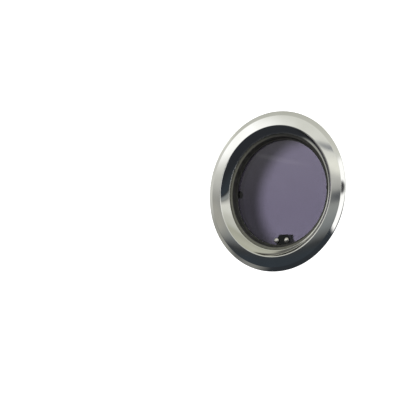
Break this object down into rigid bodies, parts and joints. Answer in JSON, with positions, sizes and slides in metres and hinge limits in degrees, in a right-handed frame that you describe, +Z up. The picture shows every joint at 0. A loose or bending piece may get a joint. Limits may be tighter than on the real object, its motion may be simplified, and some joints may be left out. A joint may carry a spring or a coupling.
{
  "type": "porthole window",
  "caption": "Round opening porthole: polished flanged frame, tinted pane that tips inwards on a bottom hinge, and a turn lever on each side of the inner ring.",
  "frame": {"origin": "centre of the round frame on the wall's outer face, which is the plane of the flange's back", "axes": "+Y runs inwards along the window's axis, -Y is outside, +Z is up, +X is to the right seen from outside"},
  "size_m": [0.3, 0.0537, 0.3],
  "materials": {
    "polished_stainless": "mirror polished",
    "neoprene_gasket": "matt",
    "epdm_seal": "matt, moulded",
    "satin_stainless": "satin, turned",
    "stainless_fittings": "machined",
    "polished_screws": "polished",
    "tinted_acrylic": "cast, smoked tint",
    "black_nylon": "moulded, fine grain",
    "soft_rubber": "matt",
    "white_acetal": "turned",
    "black_acetal": "moulded",
    "soft_grip": "matt"
  },
  "bodies": {
    "frame": {"outer_frame": "polished_stainless", "wall_gasket": "neoprene_gasket", "pane_seal": "epdm_seal", "inner_ring": "satin_stainless", "ring_screws": "stainless_fittings", "hinge_brackets": "black_nylon", "hinge_bracket_screws": "stainless_fittings", "hinge_pin": "stainless_fittings", "hinge_pin_clip": "stainless_fittings", "hinge_washers": "white_acetal", "latch_post_left": "stainless_fittings", "bearing_washer_left": "white_acetal", "spring_washer_left": "stainless_fittings", "latch_post_right": "stainless_fittings", "bearing_washer_right": "white_acetal", "spring_washer_right": "stainless_fittings"},
    "sash": {"pane": "tinted_acrylic", "hinge_leaf": "black_nylon", "leaf_pad": "soft_rubber", "leaf_screws": "polished_screws", "sealing_washers": "soft_rubber", "leaf_nuts": "stainless_fittings", "hinge_bush": "white_acetal", "strike_pad_left": "black_acetal", "strike_pad_right": "black_acetal"},
    "lever_left": {"latch_lever_left": "black_nylon", "latch_grip_left": "soft_grip"},
    "lever_right": {"latch_lever_right": "black_nylon", "latch_grip_right": "soft_grip"}
  },
  "joints": [
    {"name": "sash_hinge", "type": "hinge", "parent": "frame", "child": "sash", "pos_m": [0, 0.0395, -0.115], "axis": [-1, 0, 0], "range_deg": [0, 90]},
    {"name": "latch_left_turn", "type": "hinge", "parent": "frame", "child": "lever_left", "pos_m": [-0.118, 0.0368, 0.003], "axis": [0, -1, 0], "range_deg": [0, 90]},
    {"name": "latch_right_turn", "type": "hinge", "parent": "frame", "child": "lever_right", "pos_m": [0.118, 0.0368, 0.003], "axis": [0, 1, 0], "range_deg": [0, 90]}
  ]
}
